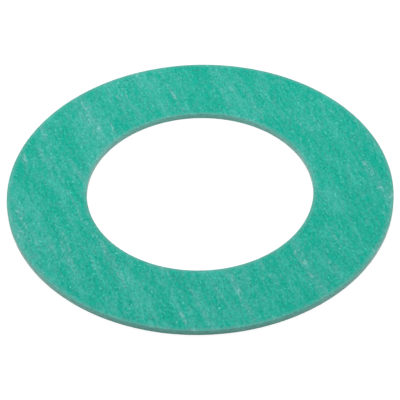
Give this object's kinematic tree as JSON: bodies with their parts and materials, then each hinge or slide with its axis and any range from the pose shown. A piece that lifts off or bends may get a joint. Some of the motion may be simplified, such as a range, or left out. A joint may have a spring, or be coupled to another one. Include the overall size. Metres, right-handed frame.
{
  "type": "flat ring gasket",
  "caption": "Flat die-cut ring of green compressed fibre sheet that seals two pipe flanges inside their bolt circle.",
  "frame": {"origin": "centre of the lower sealing face, on the axis of the ring", "axes": "+Z along the axis of the ring, up through the sheet to the side that the cutting die entered"},
  "size_m": [0.104, 0.104, 0.0015],
  "materials": {
    "fibre_sheet": "matte"
  },
  "bodies": {
    "root": {"gasket_ring": "fibre_sheet"}
  },
  "joints": []
}
